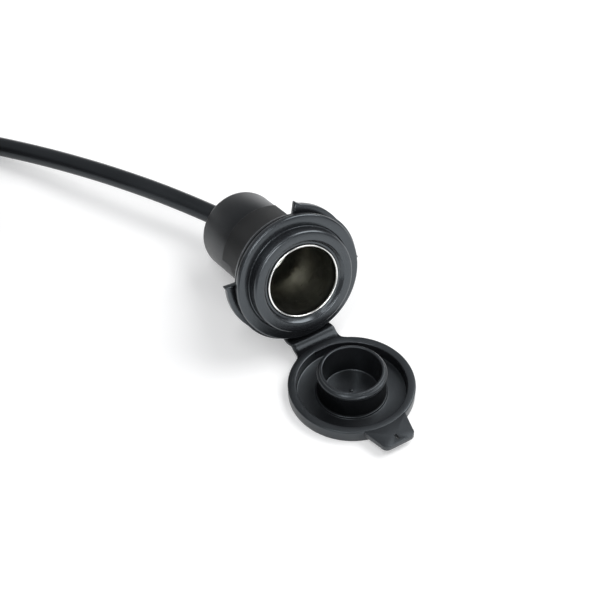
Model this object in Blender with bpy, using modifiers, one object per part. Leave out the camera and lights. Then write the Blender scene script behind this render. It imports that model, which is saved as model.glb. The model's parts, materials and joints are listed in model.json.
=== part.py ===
"""Waterproof accessory socket with a hinged rubber cap and a lead, as separate solids in metres.

The socket leans on its rear boot, and its cap lies open on the surface in front of it.
"""
import math

import bmesh
import bpy
from mathutils import Matrix, Vector

# How the object stands: +Z up, the surface at z = 0, the open cap towards -Y
SOCKET_TILT = math.radians(19.0)
FACE_X = 0.0
FACE_Y = 0.00274
FACE_LIFT = 0.00626
STRAP_REACH = 0.0056
LID_ASIDE = 0.0024

# Clearances
GAP = 0.0003
LID_SEAT_GAP = 0.0002
HINGE_GAP = 0.00025

# Contact sleeve
BORE_RADIUS = 0.0106
BORE_DEPTH = 0.0290
SLEEVE_WALL = 0.0006
SLEEVE_LIP = 0.00035
LIP_OVERHANG = 0.00025
LIP_LENGTH = 0.0009
SLEEVE_PORT_RADIUS = 0.0052

# Housing moulding
NOSE_WIDTH = 0.0039
NOSE_LENGTH = 0.0028
NOSE_ROUND = 0.0014
NOSE_BEVEL = 0.0010
FACE_STEP = 0.00025
FLANGE_REACH = 0.0040
FLANGE_THICKNESS = 0.0018
FLANGE_ROUND = 0.0005
BARREL_WALL = 0.0010
NECK_RISE = 0.0025
HOUSING_LENGTH = 0.0230
PAD_CENTRES = (math.radians(119.0), math.radians(299.0))
PAD_WIDTH = math.radians(98.0)
SNAP_HEIGHT = 0.0004
SNAP_LENGTH = 0.0008

# Lock ring behind the cap's collar
LOCK_REACH = 0.0044
LOCK_THICKNESS = 0.0019
LOBE_HEIGHT = 0.0016
LOBE_START = math.radians(78.0)
LOBE_WIDTH = math.radians(62.0)
NOTCH_WIDTH = math.radians(92.0)
HOOK_HEIGHT = 0.0009
HOOK_WIDTH = math.radians(5.0)

# Cap: collar, strap and lid
COLLAR_THICKNESS = 0.0015
STRAP_WIDTH = 0.0146
STRAP_THICKNESS = 0.0013
STRAP_FLARE = 0.0024
NOSE_CLEARANCE = 0.0006
LID_HEIGHT = 0.00395
LID_WEB = 0.0008
LID_TAPER = 0.0002
RIM_WIDTH = 0.0025
EDGE_ROUND = 0.00045
PLUG_CLEARANCE = 0.0004
PLUG_FLARE = 0.00125
BEAD_HEIGHT = 0.00045
PLUG_LENGTH = 0.0062
BEAD_SETBACK = 0.0017
PLUG_LIP_WALL = 0.0012
PLUG_WALL = 0.00155
TAB_ROOT_WIDTH = 0.0134
TAB_END_WIDTH = 0.0108
TAB_REACH = 0.0068
TAB_THICKNESS = 0.0015
TAB_CORNER = 0.0020
TAB_SLOT = (0.0006, 0.0018)

# Boot behind the housing
BOOT_WALL = 0.0008
BOOT_ROOM = 0.0145
BOOT_END_WALL = 0.0025
BOOT_END_ROUND = 0.0020

# Parts held inside
INSULATOR_RADIUS = 0.0069
INSULATOR_WALL = 0.0010
INSULATOR_FLANGE = 0.0018
INSULATOR_DISH = 0.0011
WASHER_CLEARANCE = 0.0004
WASHER_THICKNESS = 0.0007
CONTACT_RADIUS = 0.0048
CONTACT_THICKNESS = 0.0007
RIVET_RADIUS = 0.0015
RIVET_HEAD_RADIUS = 0.0029
RIVET_HEAD = 0.0010
RIVET_TAIL_RADIUS = 0.0024
TERMINAL_THICKNESS = 0.0007
TERMINAL_WIDTH = 0.0048
TERMINAL_REACH = 0.0022
BARREL_TUBE_RADIUS = 0.0017
BARREL_TUBE_LENGTH = 0.0024
POSITIVE_BLADE_Y = 0.0038
NEGATIVE_INSET = 0.0028
NEGATIVE_BLADE_INSET = 0.0002
SMALL_RIVET_RADIUS = 0.0006
SMALL_HEAD_RADIUS = 0.0009
WIRE_RADIUS = 0.0011
WIRE_SPACING = 0.0028
CLIP_RADIUS = 0.0048
CLIP_LENGTH = 0.0018
ENTRY_LENGTH = 0.0049

# Lead
CABLE_RADIUS = 0.0030
COIL_FROM_EXIT = (-0.0992, 0.0546)
COIL_RADIUS = 0.0300
COIL_COLUMNS = 2
COIL_ROWS = 4
TURN_PITCH = 0.00615
TIE_THICKNESS = 0.0007
TIE_WIDTH = 0.0090
TIE_ANGLES = (math.radians(-60.0), math.radians(120.0))

# Connector at the lead's far end, lying on the coil
CONNECTOR_LENGTH = 0.0240
CONNECTOR_WIDTH = 0.0150
CONNECTOR_HEIGHT = 0.0096
CONNECTOR_WALL = 0.0014
CONNECTOR_POCKET = 0.0095
CONNECTOR_ROUND = 0.0008
CONNECTOR_ANGLE = math.radians(180.0)
TAIL_RADIUS = 0.0280
TAIL_LENGTH = 0.0240
PIN_RADIUS = 0.0009
PIN_LENGTH = 0.0130
PIN_SPACING = 0.0066
PIN_SETBACK = 0.0020
SEAL_RADIUS = 0.0046
SEAL_LENGTH = 0.0050
SEAL_WALL = 0.0008
LATCH_SIZE = (0.0110, 0.0050, 0.0012)
LATCH_ROUND = 0.0003

# Facets
ROUND = 52
INNER_ROUND = 32
SMALL_ROUND = 24

# Radii, from the bore outwards
SLEEVE_RADIUS = BORE_RADIUS + SLEEVE_WALL
HOUSING_BORE = SLEEVE_RADIUS + GAP
BARREL_RADIUS = HOUSING_BORE + BARREL_WALL
BOOT_RADIUS = HOUSING_BORE + BOOT_WALL
NECK_RADIUS = BARREL_RADIUS + NECK_RISE
FLANGE_RADIUS = NECK_RADIUS + FLANGE_REACH
LOCK_RADIUS = NECK_RADIUS + LOCK_REACH
NOSE_RADIUS = HOUSING_BORE + NOSE_WIDTH
LID_RADIUS = NOSE_RADIUS + NOSE_CLEARANCE + RIM_WIDTH
PLUG_BEAD_RADIUS = BORE_RADIUS - PLUG_CLEARANCE
PLUG_NECK_RADIUS = PLUG_BEAD_RADIUS - BEAD_HEIGHT
PLUG_FOOT_RADIUS = PLUG_NECK_RADIUS + PLUG_FLARE
PLUG_OPENING_RADIUS = PLUG_NECK_RADIUS - PLUG_LIP_WALL
PLUG_INNER_RADIUS = PLUG_NECK_RADIUS - PLUG_WALL
NEGATIVE_INNER_Y = NEGATIVE_INSET - BORE_RADIUS
NEGATIVE_BLADE_Y = NEGATIVE_BLADE_INSET - BORE_RADIUS
WASHER_RADIUS = -NEGATIVE_INNER_Y - WASHER_CLEARANCE

# Places that follow the radii
FACE_HEIGHT = FLANGE_RADIUS + FACE_LIFT
LID_AHEAD = FLANGE_RADIUS + STRAP_REACH

# Positions along the socket's axis, 0 at the nose face and negative behind it
FLANGE_FRONT = -NOSE_LENGTH
FLANGE_BACK = FLANGE_FRONT - FLANGE_THICKNESS
COLLAR_FRONT = FLANGE_BACK - GAP
COLLAR_BACK = COLLAR_FRONT - COLLAR_THICKNESS
LOCK_FRONT = COLLAR_BACK - GAP
LOCK_BACK = LOCK_FRONT - LOCK_THICKNESS
NECK_BACK = LOCK_BACK - GAP
SLEEVE_REAR = -BORE_DEPTH - SLEEVE_WALL
INSULATOR_BACK = -BORE_DEPTH + GAP
INSULATOR_FACE = INSULATOR_BACK + INSULATOR_FLANGE
CONTACT_BACK = INSULATOR_FACE + GAP
CONTACT_FRONT = CONTACT_BACK + CONTACT_THICKNESS
WASHER_FRONT = SLEEVE_REAR - GAP
WASHER_BACK = WASHER_FRONT - WASHER_THICKNESS
BOSS_BACK = WASHER_BACK - GAP
POSITIVE_FRONT = BOSS_BACK - GAP
POSITIVE_BACK = POSITIVE_FRONT - TERMINAL_THICKNESS
BOOT_FRONT = -HOUSING_LENGTH - GAP
BOOT_BACK = -BORE_DEPTH - BOOT_ROOM
ENTRY_FRONT = BOOT_BACK + ENTRY_LENGTH

# The socket's own directions in the world
NORMAL = Vector((0.0, -math.cos(SOCKET_TILT), math.sin(SOCKET_TILT)))
UPWARD = Vector((0.0, math.sin(SOCKET_TILT), math.cos(SOCKET_TILT)))
SIDEWAYS = Vector((1.0, 0.0, 0.0))
FACE_CENTRE = Vector((FACE_X, FACE_Y, FACE_HEIGHT))
LID_CENTRE = Vector((FACE_X + LID_ASIDE, FACE_Y - LID_AHEAD, 0.0))

# The lead's route from the boot to the coil, as it lies, from the boot's rear face
ROUTE = [
    (0.0000, 0.0000, 0.0000),
    (0.0000, 0.0014, -0.0005),
    (-0.0006, 0.0052, -0.0015),
    (-0.0024, 0.0092, -0.0019),
    (-0.0080, 0.0184, -0.0016),
    (-0.0154, 0.0298, -0.0014),
    (-0.0252, 0.0450, -0.0024),
    (-0.0357, 0.0607, -0.0043),
    (-0.0466, 0.0751, -0.0061),
    (-0.0541, 0.0827, -0.0067),
    (-0.0610, 0.0861, -0.0069),
    (-0.0690, 0.0874, -0.00695),
    (-0.0782, 0.0874, -0.00695),
]


def clear_scene():
    """Empty the scene and make the two collections."""
    for obj in list(bpy.data.objects):
        bpy.data.objects.remove(obj, do_unlink=True)
    for name in ("accessory_socket", "cutters"):
        collection = bpy.data.collections.new(name)
        bpy.context.scene.collection.children.link(collection)
    bpy.data.collections["cutters"].hide_render = True


def material(name, colour, roughness, metallic=0.0):
    """A Principled material of one colour."""
    mat = bpy.data.materials.get(name) or bpy.data.materials.new(name)
    mat.use_nodes = True
    shader = mat.node_tree.nodes["Principled BSDF"]
    shader.inputs["Base Color"].default_value = (*colour, 1.0)
    shader.inputs["Roughness"].default_value = roughness
    shader.inputs["Metallic"].default_value = metallic
    return mat


def black_plastic():
    return material("black_plastic", (0.05, 0.052, 0.056), 0.42)


def black_rubber():
    return material("black_rubber", (0.045, 0.047, 0.052), 0.60)


def bright_steel():
    return material("bright_steel", (0.72, 0.71, 0.68), 0.22, 1.0)


def brass():
    return material("brass", (0.76, 0.60, 0.28), 0.30, 1.0)


def insulating_board():
    return material("insulating_board", (0.33, 0.16, 0.08), 0.70)


def cable_sheath():
    return material("cable_sheath", (0.040, 0.042, 0.046), 0.50)


def red_insulation():
    return material("red_insulation", (0.55, 0.03, 0.03), 0.45)


def add_object(name, data, mat, frame=None, cutter=False):
    """Link new data as an object, at a frame given as a matrix."""
    obj = bpy.data.objects.new(name, data)
    where = "cutters" if cutter else "accessory_socket"
    bpy.data.collections[where].objects.link(obj)
    if frame is not None:
        obj.matrix_world = frame
    if cutter:
        obj.hide_render = True
        obj.display_type = "WIRE"
    else:
        data.materials.append(mat)
    return obj


def turned(name, profile, mat=None, frame=None, steps=ROUND, cutter=False):
    """A profile of (radius, height) points, turned about its own Z by a Screw modifier.

    It runs down its outer side. One that starts and ends off the axis is closed into a loop.
    """
    mesh = bpy.data.meshes.new(name)
    points = [(r, 0.0, z) for r, z in profile]
    edges = [(i, i + 1) for i in range(len(points) - 1)]
    if profile[0][0] > 0.0:
        edges.append((len(points) - 1, 0))
    mesh.from_pydata(points, edges, [])
    obj = add_object(name, mesh, mat, frame, cutter)
    screw = obj.modifiers.new("Turn", "SCREW")
    screw.steps = steps
    screw.render_steps = steps
    screw.use_merge_vertices = True
    screw.merge_threshold = 0.000001
    screw.use_smooth_shade = False
    return obj


def outline(name, rings, depth, mat=None, frame=None, cutter=False):
    """A flat outline, with its holes, extruded by half its depth each way from its plane."""
    curve = bpy.data.curves.new(name, "CURVE")
    curve.dimensions = "2D"
    curve.fill_mode = "BOTH"
    curve.extrude = depth / 2
    for ring in rings:
        spline = curve.splines.new("POLY")
        spline.points.add(len(ring) - 1)
        for point, (x, y) in zip(spline.points, ring):
            point.co = (x, y, 0.0, 1.0)
        spline.use_cyclic_u = True
    source = bpy.data.objects.new(name + "_outline", curve)
    mesh = bpy.data.meshes.new_from_object(source)
    bpy.data.objects.remove(source)
    weld(mesh)
    return add_object(name, mesh, mat, frame, cutter)


def tube(name, points, radius, mat, resolution=2):
    """A round tube along points, with filled ends."""
    curve = bpy.data.curves.new(name, "CURVE")
    curve.dimensions = "3D"
    curve.bevel_depth = radius
    curve.bevel_resolution = resolution
    curve.use_fill_caps = True
    spline = curve.splines.new("POLY")
    spline.points.add(len(points) - 1)
    for point, place in zip(spline.points, points):
        point.co = (*place, 1.0)
    source = bpy.data.objects.new(name + "_path", curve)
    mesh = bpy.data.meshes.new_from_object(source)
    bpy.data.objects.remove(source)
    weld(mesh)
    return add_object(name, mesh, mat)


def weld(mesh):
    """Join a mesh's coincident points and turn its faces outwards."""
    bm = bmesh.new()
    bm.from_mesh(mesh)
    bmesh.ops.remove_doubles(bm, verts=bm.verts, dist=0.000001)
    bmesh.ops.recalc_face_normals(bm, faces=bm.faces)
    bm.to_mesh(mesh)
    bm.free()


def block(name, size, centre, mat=None, frame=None, cutter=False, bevel=0.0):
    """A box, with its edges rounded where bevel is over 0."""
    bm = bmesh.new()
    bmesh.ops.create_cube(bm, size=1.0)
    bmesh.ops.scale(bm, vec=size, verts=bm.verts)
    bmesh.ops.translate(bm, vec=centre, verts=bm.verts)
    if bevel > 0.0:
        bmesh.ops.bevel(bm, geom=bm.edges[:], offset=bevel, segments=2, affect="EDGES", profile=0.5)
    mesh = bpy.data.meshes.new(name)
    bm.to_mesh(mesh)
    bm.free()
    return add_object(name, mesh, mat, frame, cutter)


def combine(obj, other, operation):
    """A Boolean modifier with another object."""
    boolean = obj.modifiers.new(operation.title(), "BOOLEAN")
    boolean.operation = operation
    boolean.solver = "EXACT"
    boolean.object = other


def axes_matrix(x, y, z, origin):
    """A matrix whose columns are three directions and an origin."""
    frame = Matrix.Identity(4)
    for column, vector in enumerate((x, y, z, origin)):
        for row in range(3):
            frame[row][column] = vector[row]
    return frame


def socket_frame():
    """The socket's frame: its Z comes out of the nose face and its Y points up."""
    return axes_matrix(SIDEWAYS, UPWARD, NORMAL, FACE_CENTRE)


def hinge_line():
    """The line that turns the open lid on to the nose: a point, a direction and the angle."""
    open_normal = Vector((0.0, 0.0, 1.0))
    shut_normal = -NORMAL
    bisector = (open_normal + shut_normal).normalized()
    open_rim = LID_CENTRE + open_normal * LID_HEIGHT
    shut_rim = FACE_CENTRE + NORMAL * (FLANGE_FRONT + LID_SEAT_GAP)
    travel = shut_rim - open_rim
    lean = math.atan2(-travel.dot(SIDEWAYS), travel.dot(bisector))
    axis = SIDEWAYS * math.cos(lean) + bisector * math.sin(lean)
    before = open_normal - axis * open_normal.dot(axis)
    after = shut_normal - axis * shut_normal.dot(axis)
    angle = math.atan2(before.cross(after).dot(axis), before.dot(after))
    middle = (open_rim + shut_rim) / 2
    reach = axis.cross(travel.normalized()) * (travel.length / 2) / math.tan(angle / 2)
    return middle + reach, axis, angle


def lid_frame():
    """The open lid's frame: Z up, and Y towards the hinge, square to the hinge line."""
    axis = hinge_line()[1]
    sideways = Vector((axis.x, axis.y, 0.0)).normalized()
    upright = Vector((0.0, 0.0, 1.0))
    return axes_matrix(sideways, upright.cross(sideways), upright, LID_CENTRE)


def arc(centre, radius, start, end, steps):
    """Points on an arc, both ends counted."""
    angles = [start + (end - start) * i / steps for i in range(steps + 1)]
    return [(centre[0] + radius * math.cos(a), centre[1] + radius * math.sin(a)) for a in angles]


# Socket pieces
def housing():
    """The moulding that carries everything: nose, flange, neck and barrel with two raised pads."""
    lip_pocket = SLEEVE_RADIUS + LIP_OVERHANG + GAP
    corner = NOSE_RADIUS - NOSE_ROUND
    profile = [(lip_pocket, -FACE_STEP), (corner - NOSE_ROUND, -FACE_STEP)]
    profile += [(corner - NOSE_BEVEL, 0.0)]
    profile += arc((corner, -NOSE_ROUND), NOSE_ROUND, math.pi / 2, 0.0, 5)
    profile += [(NOSE_RADIUS, FLANGE_FRONT + GAP), (NOSE_RADIUS + GAP, FLANGE_FRONT)]
    rim = (FLANGE_RADIUS - FLANGE_ROUND, FLANGE_FRONT - FLANGE_ROUND)
    profile += arc(rim, FLANGE_ROUND, math.pi / 2, 0.0, 3)
    profile += [(FLANGE_RADIUS, FLANGE_BACK), (NECK_RADIUS, FLANGE_BACK)]
    profile += [(NECK_RADIUS, NECK_BACK), (BARREL_RADIUS, NECK_BACK)]
    profile += [(BARREL_RADIUS, -HOUSING_LENGTH), (HOUSING_BORE, -HOUSING_LENGTH)]
    profile += [(HOUSING_BORE, -LIP_LENGTH - GAP), (lip_pocket, -LIP_LENGTH - GAP)]
    body = turned("housing", profile, black_plastic(), socket_frame())
    for number, centre in enumerate(PAD_CENTRES):
        combine(body, pad(f"pad_{number + 1}", centre), "UNION")


def pad(name, centre):
    """One raised pad on the barrel, with the ridge that the lock ring snaps over."""
    front = NECK_BACK + GAP
    ridge = NECK_BACK - SNAP_LENGTH
    inner = (BARREL_RADIUS + HOUSING_BORE) / 2
    section = [
        (inner, front),
        (NECK_RADIUS, front),
        (NECK_RADIUS, NECK_BACK),
        (NECK_RADIUS + SNAP_HEIGHT, ridge),
        (NECK_RADIUS, ridge - SNAP_LENGTH),
        (NECK_RADIUS, -HOUSING_LENGTH),
        (inner, -HOUSING_LENGTH),
    ]
    bm = bmesh.new()
    face = bm.faces.new([bm.verts.new((r, 0.0, z)) for r, z in section])
    start = Matrix.Rotation(centre - PAD_WIDTH / 2, 3, "Z")
    bmesh.ops.rotate(bm, cent=(0.0, 0.0, 0.0), matrix=start, verts=bm.verts)
    steps = round(ROUND * PAD_WIDTH / (2 * math.pi))
    swept = [face] + list(face.edges) + list(face.verts)
    bmesh.ops.spin(bm, geom=swept, cent=(0.0, 0.0, 0.0), axis=(0.0, 0.0, 1.0), angle=PAD_WIDTH, steps=steps)
    bmesh.ops.recalc_face_normals(bm, faces=bm.faces)
    mesh = bpy.data.meshes.new(name)
    bm.to_mesh(mesh)
    bm.free()
    return add_object(name, mesh, None, socket_frame(), cutter=True)


def contact_sleeve():
    """The bright metal cup that takes the plug, rolled over at its mouth."""
    lip_radius = SLEEVE_RADIUS + LIP_OVERHANG
    middle = (BORE_RADIUS + lip_radius) / 2
    profile = arc((middle, 0.0), SLEEVE_LIP, math.pi, 0.0, 6)
    profile += [(lip_radius, -LIP_LENGTH), (SLEEVE_RADIUS, -LIP_LENGTH)]
    profile += [(SLEEVE_RADIUS, SLEEVE_REAR), (SLEEVE_PORT_RADIUS, SLEEVE_REAR)]
    profile += [(SLEEVE_PORT_RADIUS, -BORE_DEPTH), (BORE_RADIUS, -BORE_DEPTH)]
    profile += [(BORE_RADIUS, -SLEEVE_LIP)]
    sleeve = turned("contact_sleeve", profile, bright_steel(), socket_frame())
    hole = cylinder_cutter("rivet_hole", SMALL_RIVET_RADIUS + GAP, small_rivet_y(), -BORE_DEPTH, SLEEVE_WALL)
    combine(sleeve, hole, "DIFFERENCE")


def small_rivet_y():
    """Height of the rivet that joins the negative terminal to the sleeve."""
    return (NEGATIVE_INNER_Y + NEGATIVE_BLADE_Y + TERMINAL_THICKNESS) / 2


def cylinder_cutter(name, radius, y, middle, half):
    """A round cutter along the socket's axis, through a wall at a middle and reaching past it."""
    bm = bmesh.new()
    bmesh.ops.create_cone(
        bm, cap_ends=True, segments=SMALL_ROUND, radius1=radius, radius2=radius, depth=4 * half
    )
    bmesh.ops.translate(bm, vec=(0.0, y, middle), verts=bm.verts)
    mesh = bpy.data.meshes.new(name)
    bm.to_mesh(mesh)
    bm.free()
    return add_object(name, mesh, None, socket_frame(), cutter=True)


def base_insulator():
    """The dished insulator in the sleeve's bottom, with the boss that passes through it."""
    hole = RIVET_RADIUS + GAP
    boss = SLEEVE_PORT_RADIUS - GAP
    dish = INSULATOR_RADIUS - INSULATOR_WALL
    front = INSULATOR_FACE + INSULATOR_DISH
    profile = [(INSULATOR_RADIUS, front), (INSULATOR_RADIUS, INSULATOR_BACK), (boss, INSULATOR_BACK)]
    profile += [(boss, BOSS_BACK), (hole, BOSS_BACK), (hole, INSULATOR_FACE), (dish, INSULATOR_FACE)]
    profile += [(dish, front)]
    turned("base_insulator", profile, insulating_board(), socket_frame(), INNER_ROUND)


def insulator_washer():
    """The washer behind the sleeve's bottom."""
    profile = [(WASHER_RADIUS, WASHER_FRONT), (WASHER_RADIUS, WASHER_BACK)]
    profile += [(SLEEVE_PORT_RADIUS, WASHER_BACK), (SLEEVE_PORT_RADIUS, WASHER_FRONT)]
    turned("insulator_washer", profile, insulating_board(), socket_frame(), INNER_ROUND)


def centre_contact():
    """The brass disc that the plug's tip presses on."""
    hole = RIVET_RADIUS + GAP
    profile = [(CONTACT_RADIUS, CONTACT_FRONT), (CONTACT_RADIUS, CONTACT_BACK)]
    profile += [(hole, CONTACT_BACK), (hole, CONTACT_FRONT)]
    turned("centre_contact", profile, brass(), socket_frame(), INNER_ROUND)


def contact_rivet():
    """The rivet that holds the centre contact and the positive terminal to the insulator."""
    seat = CONTACT_FRONT + GAP
    tail = POSITIVE_BACK - GAP
    profile = [(0.0, seat + RIVET_HEAD), (RIVET_HEAD_RADIUS * 0.7, seat + RIVET_HEAD * 0.75)]
    profile += [(RIVET_HEAD_RADIUS, seat + RIVET_HEAD * 0.3), (RIVET_HEAD_RADIUS, seat)]
    profile += [(RIVET_RADIUS, seat), (RIVET_RADIUS, tail), (RIVET_TAIL_RADIUS, tail)]
    profile += [(RIVET_TAIL_RADIUS, tail - RIVET_HEAD / 2), (0.0, tail - RIVET_HEAD)]
    turned("contact_rivet", profile, brass(), socket_frame(), SMALL_ROUND)


def terminal(name, front, inner_y, blade_y, mat):
    """A bent terminal: a plate across the axis, and a blade along it that ends in a crimp tube."""
    back = front - TERMINAL_THICKNESS
    blade_end = back - TERMINAL_REACH
    toward = math.copysign(1.0, inner_y - blade_y)
    blade_side = blade_y + toward * TERMINAL_THICKNESS
    bend = [(inner_y, front), (blade_y, front), (blade_y, blade_end), (blade_side, blade_end)]
    bend += [(blade_side, back), (inner_y, back)]
    turn = axes_matrix(UPWARD, NORMAL, SIDEWAYS, FACE_CENTRE)
    plate = outline(name, [bend], TERMINAL_WIDTH, mat, turn)
    tube_front = blade_end + TERMINAL_THICKNESS
    tube_back = blade_end - BARREL_TUBE_LENGTH
    bore = WIRE_RADIUS + GAP
    ring = [(BARREL_TUBE_RADIUS, tube_front), (BARREL_TUBE_RADIUS, tube_back)]
    ring += [(bore, tube_back), (bore, tube_front)]
    shift = Matrix.Translation((0.0, blade_y + toward * BARREL_TUBE_RADIUS, 0.0))
    crimp = turned(name + "_crimp", ring, None, socket_frame() @ shift, SMALL_ROUND, cutter=True)
    combine(plate, crimp, "UNION")
    return plate


def positive_terminal():
    """The terminal on the centre rivet."""
    low = -RIVET_HEAD_RADIUS
    plate = terminal("positive_terminal", POSITIVE_FRONT, low, POSITIVE_BLADE_Y, brass())
    middle = (POSITIVE_FRONT + POSITIVE_BACK) / 2
    hole = cylinder_cutter("terminal_hole", RIVET_RADIUS + GAP, 0.0, middle, TERMINAL_THICKNESS)
    combine(plate, hole, "DIFFERENCE")


def negative_terminal():
    """The terminal riveted to the sleeve's bottom."""
    plate = terminal("negative_terminal", WASHER_FRONT, NEGATIVE_INNER_Y, NEGATIVE_BLADE_Y, brass())
    middle = WASHER_FRONT - TERMINAL_THICKNESS / 2
    radius = SMALL_RIVET_RADIUS + GAP
    hole = cylinder_cutter("negative_hole", radius, small_rivet_y(), middle, TERMINAL_THICKNESS)
    combine(plate, hole, "DIFFERENCE")


def negative_rivet():
    """The small rivet through the sleeve's bottom and the negative terminal."""
    seat = -BORE_DEPTH + GAP
    tail = WASHER_FRONT - TERMINAL_THICKNESS - GAP
    head = SMALL_RIVET_RADIUS
    profile = [(0.0, seat + head), (SMALL_HEAD_RADIUS * 0.8, seat + head * 0.7), (SMALL_HEAD_RADIUS, seat)]
    profile += [(SMALL_RIVET_RADIUS, seat), (SMALL_RIVET_RADIUS, tail), (SMALL_HEAD_RADIUS, tail)]
    profile += [(SMALL_HEAD_RADIUS * 0.8, tail - head * 0.7), (0.0, tail - head)]
    shift = Matrix.Translation((0.0, small_rivet_y(), 0.0))
    turned("negative_rivet", profile, bright_steel(), socket_frame() @ shift, SMALL_ROUND)


def core_wire(name, plate_back, blade_y, core_y, mat):
    """One insulated core, from its crimp to the end of the cable's sheath."""
    blade_end = plate_back - TERMINAL_REACH
    front = blade_end - GAP
    leave = blade_end - BARREL_TUBE_LENGTH - WIRE_RADIUS / 2
    end = ENTRY_FRONT + GAP
    bent = end + WIRE_RADIUS / 2
    frame = socket_frame()
    places = []
    for i in range(4):
        places.append((0.0, blade_y, front + (leave - front) * i / 4))
    for i in range(9):
        share = i / 8
        ease = share * share * (3 - 2 * share)
        places.append((0.0, blade_y + (core_y - blade_y) * ease, leave + (bent - leave) * share))
    places.append((0.0, core_y, end))
    return tube(name, [frame @ Vector(p) for p in places], WIRE_RADIUS, mat)


def core_wires():
    """The red and the black core."""
    positive = POSITIVE_BLADE_Y - BARREL_TUBE_RADIUS
    negative = NEGATIVE_BLADE_Y + BARREL_TUBE_RADIUS
    core_wire("positive_wire", POSITIVE_BACK, positive, WIRE_SPACING / 2, red_insulation())
    plate_back = WASHER_FRONT - TERMINAL_THICKNESS
    core_wire("negative_wire", plate_back, negative, -WIRE_SPACING / 2, cable_sheath())


def cable_entry():
    """The end of the cable's sheath, held in the boot's rear wall."""
    profile = [(0.0, ENTRY_FRONT), (CABLE_RADIUS, ENTRY_FRONT), (CABLE_RADIUS, BOOT_BACK), (0.0, BOOT_BACK)]
    turned("cable_entry", profile, cable_sheath(), socket_frame(), SMALL_ROUND)


def cable_clip():
    """The ring clamped on the sheath inside the boot, so that a pull can't draw it out."""
    back = BOOT_BACK + BOOT_END_WALL + GAP
    front = back + CLIP_LENGTH
    inner = CABLE_RADIUS + GAP
    profile = [(CLIP_RADIUS, front), (CLIP_RADIUS, back), (inner, back), (inner, front)]
    turned("cable_clip", profile, black_plastic(), socket_frame(), SMALL_ROUND)


def rear_boot():
    """The boot that slips over the sleeve's rear and closes it round the cable."""
    shoulder = (BOOT_RADIUS - BOOT_END_ROUND, BOOT_BACK + BOOT_END_ROUND)
    profile = [(BOOT_RADIUS - GAP, BOOT_FRONT), (BOOT_RADIUS, BOOT_FRONT - GAP)]
    profile += arc(shoulder, BOOT_END_ROUND, 0.0, -math.pi / 2, 6)
    cable_hole = CABLE_RADIUS + GAP
    floor = BOOT_BACK + BOOT_END_WALL
    profile += [(cable_hole, BOOT_BACK), (cable_hole, floor), (HOUSING_BORE - GAP * 3, floor)]
    profile += [(HOUSING_BORE, floor + GAP * 3), (HOUSING_BORE, BOOT_FRONT)]
    turned("rear_boot", profile, black_rubber(), socket_frame())


def lock_ring_radius(angle):
    """The lock ring's outer radius at an angle: a round ring with a grip lobe each side of a notch."""
    notch_middle = LOBE_START + NOTCH_WIDTH / 2
    away = abs(math.remainder(angle - notch_middle, math.pi)) - NOTCH_WIDTH / 2
    if away < 0.0:
        return LOCK_RADIUS
    lobe = LOBE_HEIGHT * math.cos(min(away / LOBE_WIDTH, 1.0) * math.pi / 2)
    hook = HOOK_HEIGHT * max(0.0, 1.0 - away / HOOK_WIDTH)
    return LOCK_RADIUS + lobe + hook


def lock_ring():
    """The ring that clamps a panel between itself and the cap's collar."""
    steps = ROUND * 3
    angles = [2 * math.pi * i / steps for i in range(steps)]
    outer = [(lock_ring_radius(a) * math.cos(a), lock_ring_radius(a) * math.sin(a)) for a in angles]
    inner = arc((0.0, 0.0), NECK_RADIUS + GAP, 0.0, 2 * math.pi, ROUND)[:-1]
    middle = Matrix.Translation((0.0, 0.0, (LOCK_FRONT + LOCK_BACK) / 2))
    outline("lock_ring", [outer, inner], LOCK_THICKNESS, black_plastic(), socket_frame() @ middle)


# Cap pieces
def strap_half(name, knee, root, side_shift):
    """Half of the strap: from a root inside its carrier, over a knee, to a thin edge at the hinge."""
    pivot, axis, _ = hinge_line()
    bend = knee - pivot
    bend -= axis * bend.dot(axis)
    along = bend.normalized()
    across = axis.cross(along)
    far = Vector(((root - pivot).dot(along), (root - pivot).dot(across)))
    near = Vector((bend.length, 0.0))
    half = STRAP_THICKNESS / 2
    thin = HINGE_GAP / 2
    root_side = Vector((near.y - far.y, far.x - near.x)).normalized() * half
    knee_side = (root_side + Vector((0.0, half))).normalized() * half
    section = [Vector((HINGE_GAP, -thin)), near - knee_side, far - root_side]
    section += [far + root_side, near + knee_side, Vector((HINGE_GAP, thin))]
    strap = outline(name, [section], STRAP_WIDTH, None, axes_matrix(along, across, axis, pivot), True)
    slant = Matrix.Identity(4)
    slant[2][0] = side_shift / far.x
    strap.data.transform(slant)
    return strap


def cap_collar():
    """The cap's ring round the housing's neck, with its half of the strap."""
    inner = NECK_RADIUS + GAP
    edge = EDGE_ROUND
    profile = [(FLANGE_RADIUS - edge, COLLAR_FRONT), (FLANGE_RADIUS, COLLAR_FRONT - edge)]
    profile += [(FLANGE_RADIUS, COLLAR_BACK + edge), (FLANGE_RADIUS - edge, COLLAR_BACK)]
    profile += [(inner, COLLAR_BACK), (inner, COLLAR_FRONT)]
    collar = turned("cap_collar", profile, black_rubber(), socket_frame())
    middle = (COLLAR_FRONT + COLLAR_BACK) / 2
    ring = FACE_CENTRE + NORMAL * middle
    knee = ring - UPWARD * (FLANGE_RADIUS + STRAP_THICKNESS / 2)
    root = ring - UPWARD * (FLANGE_RADIUS - STRAP_WIDTH / 8)
    pivot, axis, _ = hinge_line()
    shift = (FACE_CENTRE - pivot).dot(axis)
    combine(collar, strap_half("collar_strap", knee, root, shift), "UNION")


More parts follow.
